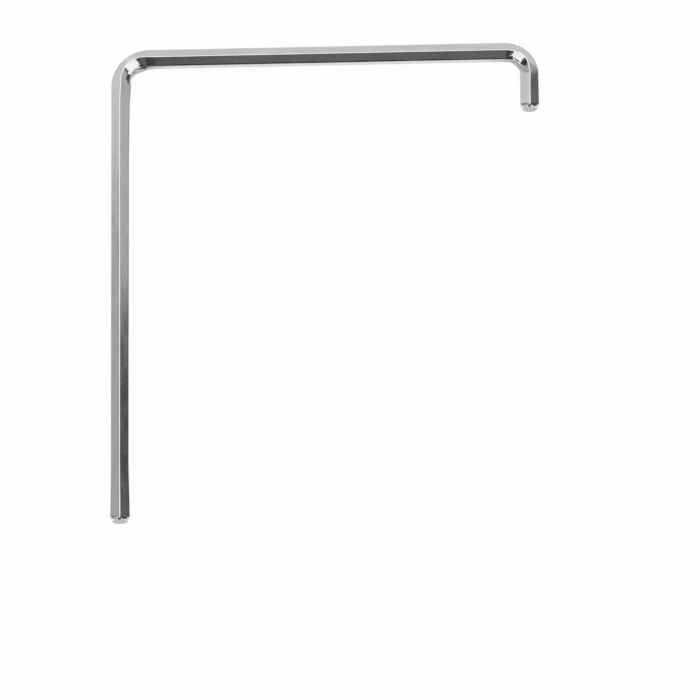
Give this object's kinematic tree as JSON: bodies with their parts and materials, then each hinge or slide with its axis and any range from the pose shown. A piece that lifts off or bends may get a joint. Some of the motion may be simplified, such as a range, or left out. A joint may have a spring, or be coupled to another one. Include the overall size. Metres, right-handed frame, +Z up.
{
  "type": "window adjustment key",
  "caption": "Hexagon bar key bent at right angles into a long arm, a crank and a short hook, with a chamfer at each tip.",
  "frame": {"origin": "centre of the bounding box's base: the key lies flat on the lowest corner ridge of its bar, at Z = 0", "axes": "+Y from the long arm's tip towards the crank, along the key's length; +X from the long arm towards the hook; +Z up, square to the flat plane that the key is bent in"},
  "size_m": [0.1, 0.113, 0.0045],
  "materials": {
    "plated_steel": "bright nickel plating over drawn hexagon steel bar, with fine lengthwise drawing lines"
  },
  "bodies": {
    "root": {"hex_key": "plated_steel"}
  },
  "joints": []
}
